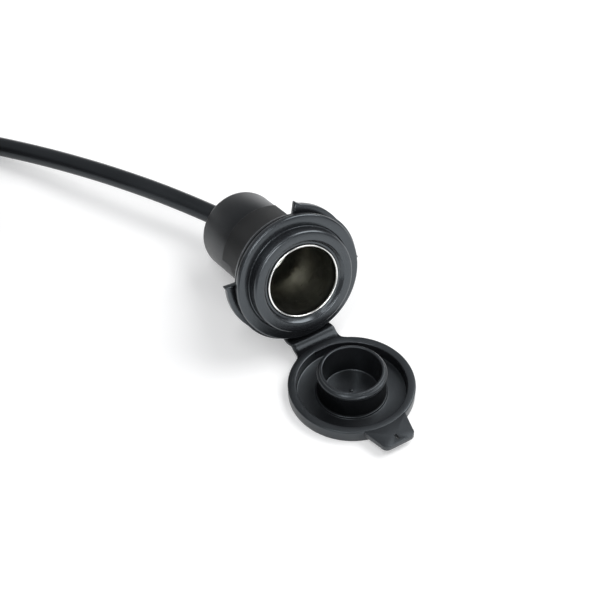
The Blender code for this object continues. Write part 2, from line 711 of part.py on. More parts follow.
def lid_profile():
    """The lid's section from the plug's floor, over the plug and the rim, to the underside."""
    top = LID_HEIGHT
    lip = top + PLUG_LENGTH
    bead = lip - BEAD_SETBACK
    soft = EDGE_ROUND
    recess = LID_RADIUS - RIM_WIDTH
    profile = [(0.0, LID_WEB), (PLUG_INNER_RADIUS - soft, LID_WEB), (PLUG_INNER_RADIUS, LID_WEB + soft)]
    profile += [(PLUG_OPENING_RADIUS - soft / 2, lip - soft * 2), (PLUG_OPENING_RADIUS, lip - soft)]
    profile += [(PLUG_OPENING_RADIUS + soft, lip), (PLUG_NECK_RADIUS - soft, lip - soft / 2)]
    profile += arc((PLUG_BEAD_RADIUS - PLUG_WALL / 2, bead), PLUG_WALL / 2, math.radians(50.0), -math.radians(60.0), 4)
    profile += [(PLUG_NECK_RADIUS, bead - PLUG_WALL), (PLUG_NECK_RADIUS, LID_WEB + PLUG_FLARE)]
    profile += arc((PLUG_FOOT_RADIUS, LID_WEB + PLUG_FLARE), PLUG_FLARE, math.pi, 1.5 * math.pi, 4)[1:]
    profile += arc((recess - soft, LID_WEB + soft), soft, -math.pi / 2, 0.0, 2)
    profile += arc((recess + soft, top - soft), soft, math.pi, math.pi / 2, 2)
    profile += arc((LID_RADIUS - soft, top - soft), soft, math.pi / 2, 0.0, 3)
    profile += arc((LID_RADIUS - LID_TAPER - soft, soft), soft, 0.0, -math.pi / 2, 3)
    return profile + [(0.0, 0.0)]


def cap_lid():
    """The lid that lies open: disc, hollow plug, pull tab and its half of the strap."""
    frame = lid_frame()
    lid = turned("cap_lid", lid_profile(), black_rubber(), frame)
    tilt = STRAP_WIDTH / 2 * abs(hinge_line()[1].z)
    level = LID_HEIGHT - STRAP_THICKNESS / 2 - tilt
    knee = frame @ Vector((0.0, LID_RADIUS + STRAP_THICKNESS / 2, level))
    root = frame @ Vector((0.0, LID_RADIUS - RIM_WIDTH * 0.9, level))
    combine(lid, strap_half("lid_strap", knee, root, 0.0), "UNION")
    combine(lid, strap_flare(frame), "UNION")
    combine(lid, pull_tab(frame), "UNION")
    slot_y = -(LID_RADIUS + TAB_REACH - TAB_CORNER)
    size = (TAB_SLOT[0], TAB_SLOT[1], LID_HEIGHT)
    slot = block("tab_slot", size, (0.0, slot_y, LID_HEIGHT), None, frame, cutter=True)
    combine(lid, slot, "DIFFERENCE")
    hang_on_hinge(lid)


def strap_flare(frame):
    """The web that widens the strap where it runs into the lid's rim."""
    half = STRAP_WIDTH / 2
    far = LID_RADIUS + STRAP_FLARE * 0.6
    near = LID_RADIUS - STRAP_FLARE * 1.4
    right = arc((half + STRAP_FLARE, far), STRAP_FLARE, math.pi, 1.3 * math.pi, 4)
    left = [(-x, y) for x, y in reversed(right)]
    inner = math.sqrt((LID_RADIUS - RIM_WIDTH * 0.5) ** 2 - half**2)
    ring = right + [(half, inner)] + arc_across(half, inner) + [(-half, inner)] + left
    middle = Matrix.Translation((0.0, 0.0, LID_HEIGHT - STRAP_THICKNESS / 2))
    return outline("strap_web", [ring], STRAP_THICKNESS - EDGE_ROUND, None, frame @ middle, cutter=True)


def arc_across(half, height):
    """Points from right to left on the circle about the origin through (half, height)."""
    radius = math.hypot(half, height)
    start = math.atan2(height, half)
    return arc((0.0, 0.0), radius, start, math.pi - start, 8)[1:-1]


def pull_tab(frame):
    """The tab opposite the strap, narrower at its rounded end."""
    root = LID_RADIUS - RIM_WIDTH / 2
    end = LID_RADIUS + TAB_REACH
    half_root = TAB_ROOT_WIDTH / 2
    half_end = TAB_END_WIDTH / 2
    corner = arc((half_end - TAB_CORNER, -(end - TAB_CORNER)), TAB_CORNER, 0.0, -math.pi / 2, 5)
    right = [(half_root, -root)] + corner
    ring = right + [(-x, y) for x, y in reversed(right)]
    middle = Matrix.Translation((0.0, 0.0, LID_HEIGHT - TAB_THICKNESS / 2 - GAP / 2))
    return outline("tab", [ring], TAB_THICKNESS, None, frame @ middle, cutter=True)


def hang_on_hinge(lid):
    """Parent the lid to an empty on the hinge line, whose X lies along that line."""
    pivot, axis, _ = hinge_line()
    upright = Vector((0.0, 0.0, 1.0))
    forward = upright.cross(axis).normalized()
    hinge = bpy.data.objects.new("cap_hinge", None)
    bpy.data.collections["accessory_socket"].objects.link(hinge)
    hinge.matrix_world = axes_matrix(axis, forward, axis.cross(forward), pivot)
    lid.parent = hinge
    lid.matrix_parent_inverse = hinge.matrix_world.inverted()


# Lead pieces
def smooth_path(points, spacing):
    """Points about a spacing apart on a smooth curve through the given ones."""
    path = [Vector(p) for p in points]
    path = [path[0] * 2 - path[1]] + path + [path[-1] * 2 - path[-2]]
    out = []
    for i in range(1, len(path) - 2):
        a, b, c, d = path[i - 1 : i + 3]
        count = max(1, round((c - b).length / spacing))
        for k in range(count):
            t = k / count
            pull = (c - a) * t + (a * 2 - b * 5 + c * 4 - d) * t**2 + (b * 3 - a - c * 3 + d) * t**3
            out.append(b + pull * 0.5)
    return out + [path[-2]]


def cable_exit():
    """The middle of the boot's rear face."""
    return FACE_CENTRE + NORMAL * BOOT_BACK


def cable():
    """The stretch of the lead from the boot to the coil."""
    start = cable_exit() - NORMAL * GAP
    places = [start + Vector(p) for p in ROUTE]
    tube("cable", smooth_path(places, CABLE_RADIUS * 4), CABLE_RADIUS, cable_sheath(), 4)


def coil_centre():
    """The middle of the coil, on the surface."""
    where = cable_exit()
    return Vector((where.x + COIL_FROM_EXIT[0], where.y + COIL_FROM_EXIT[1], 0.0))


def coil_section():
    """The coil's inner and outer radius, its underside and its top."""
    half = ((COIL_COLUMNS - 1) * TURN_PITCH) / 2 + CABLE_RADIUS
    bottom = TIE_THICKNESS + GAP
    return COIL_RADIUS - half, COIL_RADIUS + half, bottom, bottom + COIL_ROWS * TURN_PITCH


def cable_coil():
    """The outer shape of the lead's coiled turns."""
    inner, outer, bottom, top = coil_section()
    soft = CABLE_RADIUS * 0.8
    profile = [(inner + soft, top), (outer - soft, top), (outer, top - soft), (outer, bottom + soft)]
    profile += [(outer - soft, bottom), (inner + soft, bottom), (inner, bottom + soft), (inner, top - soft)]
    frame = Matrix.Translation(coil_centre())
    turned("cable_coil", profile, cable_sheath(), frame, ROUND)


def coil_tie(name, angle):
    """A flat tie closed round the coil's section."""
    inner, outer, bottom, top = coil_section()
    curved_in = inner - math.sqrt(inner**2 - (TIE_WIDTH / 2) ** 2)
    wide = outer - inner + curved_in + 2 * GAP
    tall = top - bottom + 2 * GAP
    hole = rectangle(wide, tall)
    band = rectangle(wide + 2 * TIE_THICKNESS, tall + 2 * TIE_THICKNESS)
    outward = Vector((math.cos(angle), math.sin(angle), 0.0))
    upright = Vector((0.0, 0.0, 1.0))
    height = Vector((0.0, 0.0, (top + bottom) / 2))
    centre = coil_centre() + height + outward * (outer + inner - curved_in) / 2
    frame = axes_matrix(outward, upright, outward.cross(upright), centre)
    outline(name, [band, hole], TIE_WIDTH, black_plastic(), frame)


def rectangle(width, height):
    """The corners of a rectangle about the origin."""
    x, y = width / 2, height / 2
    return [(x, y), (-x, y), (-x, -y), (x, -y)]


def connector_frame():
    """The connector's frame on the coil: X towards its mouth, along the turns."""
    outward = Vector((math.cos(CONNECTOR_ANGLE), math.sin(CONNECTOR_ANGLE), 0.0))
    upright = Vector((0.0, 0.0, 1.0))
    along = upright.cross(outward)
    top = coil_section()[3] + GAP
    tip = coil_centre() + upright * (top + CONNECTOR_HEIGHT / 2) + outward * TAIL_RADIUS
    centre = tip + along * (GAP + SEAL_LENGTH + GAP + CONNECTOR_LENGTH / 2)
    return axes_matrix(along, outward * -1.0, upright, centre)


def connector_housing():
    """The two-way connector's moulding, open at its mouth, with two pin holes and a cable hole."""
    frame = connector_frame()
    size = (CONNECTOR_LENGTH, CONNECTOR_WIDTH, CONNECTOR_HEIGHT)
    body = block("connector_housing", size, (0.0, 0.0, 0.0), black_plastic(), frame, bevel=CONNECTOR_ROUND)
    pocket = (CONNECTOR_POCKET * 2, CONNECTOR_WIDTH - 2 * CONNECTOR_WALL, CONNECTOR_HEIGHT - 2 * CONNECTOR_WALL)
    mouth = block("connector_mouth", pocket, (CONNECTOR_LENGTH / 2, 0.0, 0.0), None, frame, cutter=True)
    combine(body, mouth, "DIFFERENCE")
    for side in (-1, 1):
        hole = pin(f"pin_hole_{side + 2}", side, PIN_RADIUS + GAP, PIN_LENGTH + 2 * GAP, None)
        combine(body, hole, "DIFFERENCE")


def pin(name, side, radius, length, mat):
    """One round pin, or the cutter for its hole, from the mouth back into the moulding."""
    bm = bmesh.new()
    bmesh.ops.create_cone(bm, cap_ends=True, segments=16, radius1=radius, radius2=radius, depth=length)
    bmesh.ops.rotate(bm, cent=(0.0, 0.0, 0.0), matrix=Matrix.Rotation(math.pi / 2, 3, "Y"), verts=bm.verts)
    centre = CONNECTOR_LENGTH / 2 - PIN_SETBACK - PIN_LENGTH / 2
    bmesh.ops.translate(bm, vec=(centre, side * PIN_SPACING / 2, 0.0), verts=bm.verts)
    mesh = bpy.data.meshes.new(name)
    bm.to_mesh(mesh)
    bm.free()
    return add_object(name, mesh, mat, connector_frame(), cutter=mat is None)


def connector_pins():
    """The two pins in the connector."""
    pin("connector_pin_positive", -1, PIN_RADIUS, PIN_LENGTH, brass())
    pin("connector_pin_negative", 1, PIN_RADIUS, PIN_LENGTH, brass())


def seal_frame():
    """The seal's frame at the connector's back: Z points back along the lead."""
    frame = connector_frame()
    back = frame @ Vector((-CONNECTOR_LENGTH / 2 - GAP, 0.0, 0.0))
    along, across, upright = (frame.to_3x3().col[i] for i in range(3))
    return axes_matrix(upright, across, -along, back)


def connector_seal():
    """The tapered rubber seal where the lead goes into the connector."""
    tip = CABLE_RADIUS + SEAL_WALL
    profile = [(0.0, SEAL_LENGTH), (tip, SEAL_LENGTH), (SEAL_RADIUS, 0.0), (0.0, 0.0)]
    turned("connector_seal", profile, black_rubber(), seal_frame(), SMALL_ROUND)


def connector_latch():
    """The sprung latch on the connector's top."""
    frame = connector_frame()
    centre = (CONNECTOR_LENGTH / 2 - LATCH_SIZE[0] / 2, 0.0, CONNECTOR_HEIGHT / 2 + GAP + LATCH_SIZE[2] / 2)
    block("connector_latch", LATCH_SIZE, centre, black_plastic(), frame, bevel=LATCH_ROUND)


def cable_tail():
    """The lead's last stretch, over the coil and into the connector's seal."""
    frame = connector_frame()
    back = CONNECTOR_LENGTH / 2 + GAP + SEAL_LENGTH + GAP
    tip = frame @ Vector((-back, 0.0, 0.0))
    centre = coil_centre() + Vector((0.0, 0.0, tip.z))
    places = [tip]
    steps = round(TAIL_LENGTH / (CABLE_RADIUS * 1.2))
    for i in range(1, steps + 1):
        turn = CONNECTOR_ANGLE - TAIL_LENGTH / TAIL_RADIUS * i / steps
        places.append(centre + Vector((math.cos(turn), math.sin(turn), 0.0)) * TAIL_RADIUS)
    tube("cable_tail", places, CABLE_RADIUS, cable_sheath(), 4)


def build():
    """Make every piece."""
    clear_scene()
    housing()
    contact_sleeve()
    base_insulator()
    insulator_washer()
    centre_contact()
    contact_rivet()
    positive_terminal()
    negative_terminal()
    negative_rivet()
    core_wires()
    cable_entry()
    cable_clip()
    rear_boot()
    lock_ring()
    cap_collar()
    cap_lid()
    cable()
    cable_coil()
    for name, angle in zip(("coil_tie_near", "coil_tie_far"), TIE_ANGLES):
        coil_tie(name, angle)
    cable_tail()
    connector_housing()
    connector_pins()
    connector_seal()
    connector_latch()


build()
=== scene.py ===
import json
import math

import bmesh
import bpy
from mathutils import Matrix, Vector


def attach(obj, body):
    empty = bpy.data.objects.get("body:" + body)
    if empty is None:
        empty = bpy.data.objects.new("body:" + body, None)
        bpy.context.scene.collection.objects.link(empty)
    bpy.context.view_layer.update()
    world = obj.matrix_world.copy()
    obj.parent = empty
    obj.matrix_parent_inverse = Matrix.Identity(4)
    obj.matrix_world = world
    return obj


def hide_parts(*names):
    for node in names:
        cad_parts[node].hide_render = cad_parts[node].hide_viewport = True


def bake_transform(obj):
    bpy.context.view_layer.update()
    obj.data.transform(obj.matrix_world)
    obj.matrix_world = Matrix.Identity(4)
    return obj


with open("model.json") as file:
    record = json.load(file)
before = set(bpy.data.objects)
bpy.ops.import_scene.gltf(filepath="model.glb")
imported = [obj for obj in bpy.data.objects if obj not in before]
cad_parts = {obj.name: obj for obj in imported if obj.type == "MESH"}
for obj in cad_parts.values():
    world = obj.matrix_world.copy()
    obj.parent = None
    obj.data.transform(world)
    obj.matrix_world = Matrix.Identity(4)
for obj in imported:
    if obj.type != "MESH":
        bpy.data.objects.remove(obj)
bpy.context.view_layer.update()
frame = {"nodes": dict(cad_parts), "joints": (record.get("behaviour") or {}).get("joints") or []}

# How the socket stands. Lengths are in millimetres unless a name or a call says otherwise.
MM = 0.001
TILT = math.radians(19.0)
FACE_CENTRE = Vector((0.0, 2.74, 25.26))
LID_CENTRE = Vector((2.4, -21.86, 0.0))
NORMAL = Vector((0.0, -math.cos(TILT), math.sin(TILT)))
UPWARD = Vector((0.0, math.sin(TILT), math.cos(TILT)))
RIGHT = Vector((1.0, 0.0, 0.0))
UPRIGHT = Vector((0.0, 0.0, 1.0))
HINGE = frame["joints"][0]
PIVOT = Vector(HINGE["pos_m"]) / MM
HINGE_AXIS = -Vector(HINGE["axis"])

# The photograph's view, in metres, and the lens
CAMERA_PLACE = (-0.1915, -0.3437, 0.4359)
CAMERA_TARGET = (0.0071, 0.0176, 0.0)
CAMERA_LENS = 119.2
CAMERA_SENSOR = 36.0

# The clearance between two pieces
GAP = 0.3

# Radii of the socket, from the bore outwards
BORE_RADIUS = 10.6
SLEEVE_WALL = 0.6
BOOT_WALL = 0.8
BARREL_WALL = 1.0
NECK_RISE = 2.5
SLEEVE_RADIUS = BORE_RADIUS + SLEEVE_WALL
HOUSING_BORE = SLEEVE_RADIUS + GAP
BOOT_RADIUS = HOUSING_BORE + BOOT_WALL
BARREL_RADIUS = HOUSING_BORE + BARREL_WALL
NECK_RADIUS = BARREL_RADIUS + NECK_RISE
RING_BORE = NECK_RADIUS + GAP
NOSE_RADIUS = 15.8
COLLAR_RADIUS = 18.8
FLANGE_RADIUS = 19.4
LOCK_RADIUS = 19.4

# Positions along the socket's axis, 0 at the sleeve's mouth and negative behind it
NOSE_FRONT = 0.85
LIP_BACK = -0.25
SLEEVE_SEAT = -1.2
THROAT_BACK = -2.6
FLANGE_FRONT = -2.7
FLANGE_THICKNESS = 1.9
COLLAR_THICKNESS = 1.5
LOCK_THICKNESS = 1.9
FLANGE_BACK = FLANGE_FRONT - FLANGE_THICKNESS
COLLAR_FRONT = FLANGE_BACK - GAP
COLLAR_BACK = COLLAR_FRONT - COLLAR_THICKNESS
LOCK_FRONT = COLLAR_BACK - GAP
LOCK_BACK = LOCK_FRONT - LOCK_THICKNESS
NECK_BACK = LOCK_BACK - GAP
HOUSING_BACK = -23.0
BOOT_FRONT = HOUSING_BACK - GAP
BOOT_BACK = -43.5
BOOT_END_WALL = 2.5
BORE_DEPTH = 29.0

# The raised pads on the barrel, and the ridge on each that the lock ring snaps over. Angles are in degrees.
PAD_CENTRES = (119.0, 299.0)
PAD_WIDTH = 98.0
SNAP_HEIGHT = 0.4
SNAP_LENGTH = 0.8

# The lock ring's notches, and the grip lobe with its hook each side of a notch
NOTCH_RADIUS = 17.8
NOTCH_MIDDLE = 124.0
NOTCH_HALF = 46.0
LOBE_HEIGHT = 1.6
LOBE_WIDTH = 62.0
HOOK_HEIGHT = 0.9
HOOK_WIDTH = 5.0

# The lid, from its underside: its rim, the dish inside the rim, and the hollow plug
LID_RADIUS = 18.5
LID_FOOT_RADIUS = 18.35
LID_HEIGHT = 3.95
DISH_RADIUS = 16.0
DISH_FLOOR = 0.45
PLUG_RADIUS = 9.75
PLUG_HEIGHT = 10.15
BEAD_RADIUS = 10.2
CUP_RADIUS = 8.2
CUP_MOUTH_RADIUS = 8.5
CUP_FLOOR = 0.8

# The lead
LEAD_RADIUS = 3.0
EXIT = FACE_CENTRE + NORMAL * BOOT_BACK
COIL_CENTRE = Vector((EXIT.x - 99.2, EXIT.y + 54.6, 0.0))
COIL_RADIUS = 30.0
COIL_BOTTOM = 1.0
STRAND_PITCH = 6.15
STRAND_LAYERS = 4
STRAND_TURNS = 0.8726
OUTER_STRAND = COIL_RADIUS + STRAND_PITCH / 2
INNER_STRAND = COIL_RADIUS - STRAND_PITCH / 2
LOW_STRAND = COIL_BOTTOM + STRAND_PITCH / 2
COIL_OUTER = OUTER_STRAND + LEAD_RADIUS
COIL_INNER = INNER_STRAND - LEAD_RADIUS
COIL_TOP = COIL_BOTTOM + STRAND_LAYERS * STRAND_PITCH
TAIL_RADIUS = 28.0
COIL_TURNS = 7.25

# The turns of the coil at which the lead moves to its next place, climbs to the connector and swings in
# to it, and how many turns each takes
MOVE_START, MOVE_TURNS = 0.5, 0.5
CLIMB_START, CLIMB_TURNS = 6.607, 0.5
SWING_START, SWING_TURNS = 6.76, 0.47

# How finely the lead is drawn, the coil's ties, and the free part's route, measured from the boot's exit
CURVE_SPACING = 4.0
STEPS_PER_TURN = 60
TIE_ANGLES = (-60.0, 120.0)
TIE_WIDTH = 9.0
TIE_THICKNESS = 0.6
TIE_CORNER = 2.6
ROUTE = [
    (0.0, 0.0, 0.0),
    (0.0, 1.4, -0.5),
    (-0.6, 5.2, -1.5),
    (-2.4, 9.2, -1.9),
    (-8.0, 18.4, -1.6),
    (-15.4, 29.8, -1.4),
    (-25.2, 45.0, -2.4),
    (-35.7, 60.7, -4.3),
    (-46.6, 75.1, -6.1),
    (-54.1, 82.7, -6.7),
    (-61.0, 86.1, -6.9),
    (-69.0, 87.4, -6.95),
    (-78.2, 87.4, -6.95),
]

# The cap's strap: how far down the collar it starts, the places of its bend, and then its reach from the
# lid's middle, height and half width where it joins the lid
STRAP_ON_COLLAR = (16.2, 18.4)
STRAP_BEND = ((0.45, 1.25, 4.85), (0.85, 0.0, 4.72))
STRAP_THICKNESS = 1.3
STRAP_HALF_WIDTH = 7.3
STRAP_COLUMNS = 12
STRAP_ON_LID = [
    (19.6, 3.75, 7.3),
    (18.5, 3.36, 7.3),
    (17.5, 3.28, 7.52),
    (16.9, 3.28, 7.92),
    (16.4, 3.28, 8.58),
    (15.8, 3.28, 9.3),
]

# The connector on the coil
CONNECTOR_CENTRE = Vector((COIL_CENTRE.x - TAIL_RADIUS, COIL_CENTRE.y - 17.6, 30.7))
CONNECTOR_LENGTH = 24.0
CONNECTOR_WIDTH = 15.0
CONNECTOR_HEIGHT = 9.6
CONNECTOR_WALL = 1.4
CONNECTOR_POCKET = 9.5
RIB_PLACES = (-8.0, -5.5, -3.0)
PIN_SPACING = 6.6

# The lamps, with their places, targets and sizes in metres and their power in watts: a large soft one on the
# right, a strip on the left and a small fill in front
LAMPS = {
    "key": ((0.68, -0.05, 0.85), (0.0, 0.0, 0.0), (0.85, 0.85), 9.8),
    "strip": ((-0.42, -0.30, 0.95), (0.0, 0.0, 0.0), (0.14, 0.8), 3.2),
    "front": ((0.0, -0.66, 0.252), tuple(FACE_CENTRE * MM), (0.16, 0.16), 1.2),
}


def axes(x, y, z, origin):
    """The place whose directions are x, y and z: it takes millimetres to the row's metres."""
    place = Matrix.Identity(4)
    for column, vector in enumerate((x, y, z, origin)):
        for row in range(3):
            place[row][column] = vector[row] * MM
    return place


LEVEL = Vector((HINGE_AXIS.x, HINGE_AXIS.y, 0.0)).normalized()
WORLD = axes(RIGHT, UPRIGHT.cross(RIGHT), UPRIGHT, Vector((0.0, 0.0, 0.0)))
SOCKET = axes(RIGHT, UPWARD, NORMAL, FACE_CENTRE)
LID = axes(LEVEL, UPRIGHT.cross(LEVEL), UPRIGHT, LID_CENTRE)
CONNECTOR = axes(Vector((0.0, -1.0, 0.0)), RIGHT, UPRIGHT, CONNECTOR_CENTRE)


# Camera
def camera():
    """The photograph's view."""
    data = bpy.data.cameras.new("camera")
    data.lens = CAMERA_LENS
    data.sensor_width = CAMERA_SENSOR
    data.clip_start = 0.01
    view = bpy.data.objects.new("camera", data)
    bpy.context.scene.collection.objects.link(view)
    view.location = CAMERA_PLACE
    aim = Vector(CAMERA_TARGET) - view.location
    view.rotation_euler = aim.to_track_quat("-Z", "Y").to_euler()
    bpy.context.scene.camera = view


# Finishes
class Value:
    """A shader value that can be used in sums."""

    def __init__(self, finish, socket):
        self.finish = finish
        self.socket = socket

    def sum(self, operation, first, second):
        return self.finish.node("ShaderNodeMath", {"operation": operation}, {0: first, 1: second})

    def __add__(self, other):
        return self.sum("ADD", self, other)

    def __radd__(self, other):
        return self.sum("ADD", other, self)

    def __sub__(self, other):
        return self.sum("SUBTRACT", self, other)

    def __rsub__(self, other):
        return self.sum("SUBTRACT", other, self)

    def __mul__(self, other):
        return self.sum("MULTIPLY", self, other)

    def __rmul__(self, other):
        return self.sum("MULTIPLY", other, self)


class Finish:
    """A material, with one method that adds any node to it."""

    def __init__(self, name, **constants):
        self.material = bpy.data.materials.new(name)
        self.material.use_nodes = True
        self.tree = self.material.node_tree
        self.shader = self.tree.nodes["Principled BSDF"]
        for key, value in constants.items():
            self.shader.inputs[key.replace("_", " ")].default_value = value

    def node(self, kind, settings=None, inputs=None, out=0):
        made = self.tree.nodes.new(kind)
        for key, value in (settings or {}).items():
            setattr(made, key, value)
        for key, value in (inputs or {}).items():
            self.feed(made.inputs[key], value)
        return Value(self, made.outputs[out])

    def feed(self, socket, value):
        if isinstance(value, Value):
            self.tree.links.new(value.socket, socket)
        else:
            socket.default_value = value

    def set(self, name, value):
        self.feed(self.shader.inputs[name], value)

    def place(self):
        return self.node("ShaderNodeTexCoord", out=3)

    def grain(self, scale, detail=4.0, rough=0.55, vector=None):
        where = vector or self.place()
        inputs = {"Vector": where, "Scale": scale, "Detail": detail, "Roughness": rough}
        return self.node("ShaderNodeTexNoise", {}, inputs)

    def spread(self, value, low, high, to_low, to_high):
        inputs = {"Value": value, "From Min": low, "From Max": high, "To Min": to_low, "To Max": to_high}
        return self.node("ShaderNodeMapRange", {}, inputs)

    def mix(self, factor, first, second):
        inputs = {0: factor, 6: first, 7: second}
        return self.node("ShaderNodeMix", {"data_type": "RGBA"}, inputs, out=2)

    def bump(self, height, distance, strength=1.0, under=None):
        inputs = {"Height": height, "Distance": distance, "Strength": strength}
        if under is not None:
            inputs["Normal"] = under
        return self.node("ShaderNodeBump", {}, inputs)


def grained(name, colour, paler, roughness, grain_size, depth, **constants):
    """A finish with fine spark grain, slow cloudiness in colour and gloss, and faint dust."""
    clouds_per_metre, specks_per_metre = 90.0, 1400.0
    finish = Finish(name, **constants)
    fine = finish.grain(1.0 / (grain_size * MM), 3.0, 0.6)
    slow = finish.grain(clouds_per_metre, 3.0, 0.5)
    specks = finish.grain(specks_per_metre, 2.0, 0.4)
    dust = finish.spread(specks, 0.66, 0.74, 0.0, 0.10)
    cloud = finish.spread(slow, 0.35, 0.65, 0.0, 1.0)
    body = finish.mix(cloud, (*colour, 1.0), (*paler, 1.0))
    pale = tuple(min(1.0, c * 2.2 + 0.01) for c in paler)
    finish.set("Base Color", finish.mix(dust, body, (*pale, 1.0)))
    finish.set("Roughness", roughness + (slow - 0.5) * 0.14 + (fine - 0.5) * 0.10 + dust * 0.15)
    finish.set("Normal", finish.bump(fine, depth * MM, 0.5))
    return finish.material


def black(name, colour, paler, roughness, grain_size, depth, gloss):
    """A grained black finish, whose reflections are a little cool."""
    cool = (0.84, 0.93, 1.0, 1.0)
    constants = {"Specular_IOR_Level": gloss, "Specular_Tint": cool}
    return grained(name, colour, paler, roughness, grain_size, depth, **constants)


def plated(name, bright, darker, dark, throat_shade_colour):
    """Drawn, plated metal: bright on its rolled lip, near black just behind the lip as painted shade, and
    darker down the bore, partly as painted shade, with random stains.
    """
    rings_per_metre, stains_per_metre = 7000.0, 140.0
    finish = Finish(name, Metallic=1.0)
    facts = {"operation": "DOT_PRODUCT"}
    along = finish.node("ShaderNodeVectorMath", facts, {0: finish.place(), 1: tuple(NORMAL)}, out=1)
    face = FACE_CENTRE.dot(NORMAL) * MM
    mouth = finish.spread(along, face + LIP_BACK * MM, face - 0.1 * MM, 0.0, 1.0)
    drawn = {"W": along, "Scale": rings_per_metre, "Detail": 2.0}
    lines = finish.node("ShaderNodeTexNoise", {"noise_dimensions": "1D"}, drawn)
    slow = finish.grain(stains_per_metre, 4.0, 0.6)
    stain = finish.spread(slow, 0.42, 0.68, 0.0, 1.0)
    # Painted shade: just behind the lip the colour goes near black.
    throat_shade = finish.spread(along, face + THROAT_BACK * MM, face - 0.4 * MM, 0.0, 0.95)
    # Down the bore the colour is darker than on the lip, partly painted shade for the deep bore, and mottled
    # by random stains.
    inside = finish.mix(stain, (*darker, 1.0), (*dark, 1.0))
    inside = finish.mix(throat_shade, inside, (*throat_shade_colour, 1.0))
    finish.set("Base Color", finish.mix(mouth, inside, (*bright, 1.0)))
    finish.set("Roughness", 0.28 + stain * 0.08 + (lines - 0.5) * 0.06 - mouth * 0.08)
    finish.set("Normal", finish.bump(lines * (1.0 - mouth), 0.002 * MM, 0.3))
    return finish.material


def board(name):
    """Pressed fibre board: brown, mottled and matte."""
    finish = Finish(name)
    fibres_per_metre, patches_per_metre = 2600.0, 300.0
    fibres = finish.grain(fibres_per_metre, 5.0, 0.7)
    slow = finish.grain(patches_per_metre, 3.0, 0.5)
    mottle = finish.spread(fibres + slow, 0.8, 1.2, 0.0, 1.0)
    finish.set("Base Color", finish.mix(mottle, (0.030, 0.019, 0.012, 1.0), (0.060, 0.038, 0.024, 1.0)))
    finish.set("Roughness", 0.62 + (fibres - 0.5) * 0.2)
    finish.set("Normal", finish.bump(fibres, 0.03 * MM, 0.5))
    return finish.material


def finishes():
    """Every finish, by name. After its colours come its roughness, grain in millimetres and gloss."""
    # The first, near-black colour is for painted shade.
    shade_black, deeper = (0.0014, 0.0015, 0.0017), (0.0020, 0.0021, 0.0024)
    deep, soft = (0.0050, 0.0053, 0.0061), (0.0085, 0.0089, 0.0101)
    satin, grey = (0.0075, 0.0079, 0.0090), (0.0115, 0.0120, 0.0136)
    sheath = (0.0105, 0.0110, 0.0124)
    # The plated metal's colours: the lip's, the bore's two, darkened in part as painted shade, and the near
    # black behind the lip, which is painted shade.
    steel_and_shade = ((0.90, 0.90, 0.88), (0.37, 0.375, 0.34), (0.255, 0.26, 0.23), (0.05, 0.05, 0.046))
    brass = ((0.30, 0.235, 0.12), (0.36, 0.29, 0.15))
    worn = ((0.66, 0.63, 0.55), (0.74, 0.71, 0.64))
    red = ((0.40, 0.018, 0.016), (0.46, 0.026, 0.022))
    return {
        "plastic": black("moulded_plastic", satin, grey, 0.25, 0.16, 0.008, 1.0),
        "barrel": black("barrel_plastic", deeper, deep, 0.42, 0.20, 0.030, 0.08),
        # ring: near-black, barely reflective rubber, painted shade, on the cap's ring and on the plug's
        # outer side.
        "ring": black("shade_black_rubber", shade_black, deep, 0.60, 0.20, 0.012, 0.12),
        "rubber": black("cap_rubber", deep, soft, 0.34, 0.20, 0.012, 0.72),
        "strap": black("strap_rubber", deep, soft, 0.22, 0.30, 0.002, 0.35),
        "boot": black("boot_rubber", deep, soft, 0.34, 0.24, 0.024, 0.30),
        "sheath": black("lead_sheath", soft, sheath, 0.33, 0.30, 0.014, 0.5),
        "metal": plated("plated_steel_and_shade", *steel_and_shade),
        "brass": grained("dull_brass", *brass, 0.42, 0.20, 0.006, Metallic=1.0),
        "contact": grained("worn_contact", *worn, 0.36, 0.20, 0.006, Metallic=1.0),
        "board": board("fibre_board"),
        "red": grained("red_core", *red, 0.42, 0.30, 0.008),
    }


# Making pieces
def keep(name, bm, place, finish, crease=32.0):
    """Turn a modelled shape into a piece at the origin, smooth but for its sharp edges."""
    bmesh.ops.transform(bm, matrix=place, verts=bm.verts)
    bmesh.ops.remove_doubles(bm, verts=bm.verts, dist=0.000001)
    bmesh.ops.recalc_face_normals(bm, faces=bm.faces)
    mesh = bpy.data.meshes.new(name)
    bm.to_mesh(mesh)
    bm.free()
    mesh.shade_smooth()
    mesh.set_sharp_from_angle(angle=math.radians(crease))
    mesh.materials.append(finish)
    piece = bpy.data.objects.new(name, mesh)
    bpy.context.scene.collection.objects.link(piece)
    return piece


def put(piece, body, *nodes):
    """Let a piece ride on a body and stand for these nodes."""
    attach(piece, body)
    if nodes:
        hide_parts(*nodes)
    return piece


def turned(bm, rings, steps=144, closed=True):
    """Add a ring profile of (radius, height, rounding), spun once round Z, with its rings rounded."""
    verts = [bm.verts.new((radius, 0.0, height)) for radius, height, _ in rings]
    edges = [bm.edges.new(pair) for pair in zip(verts, verts[1:])]
    if closed:
        edges.append(bm.edges.new((verts[-1], verts[0])))
    spun = bmesh.ops.spin(
        bm, geom=verts + edges, cent=(0, 0, 0), axis=(0, 0, 1), angle=2 * math.pi, steps=steps,
        use_merge=True,
    )
    bmesh.ops.remove_doubles(bm, verts=bm.verts, dist=0.0005)
    for radius, height, soft in rings:
        if soft > 0.0:
            bevel(bm, ring_edges(bm, radius, height), soft)
    return spun


def ring_edges(bm, radius, height):
    """The edges that lie on one ring of a turned shape."""
    found = []
    for edge in bm.edges:
        on = [abs(v.co.z - height) < 0.002 and abs(v.co.xy.length - radius) < 0.002 for v in edge.verts]
        if all(on):
            found.append(edge)
    return found


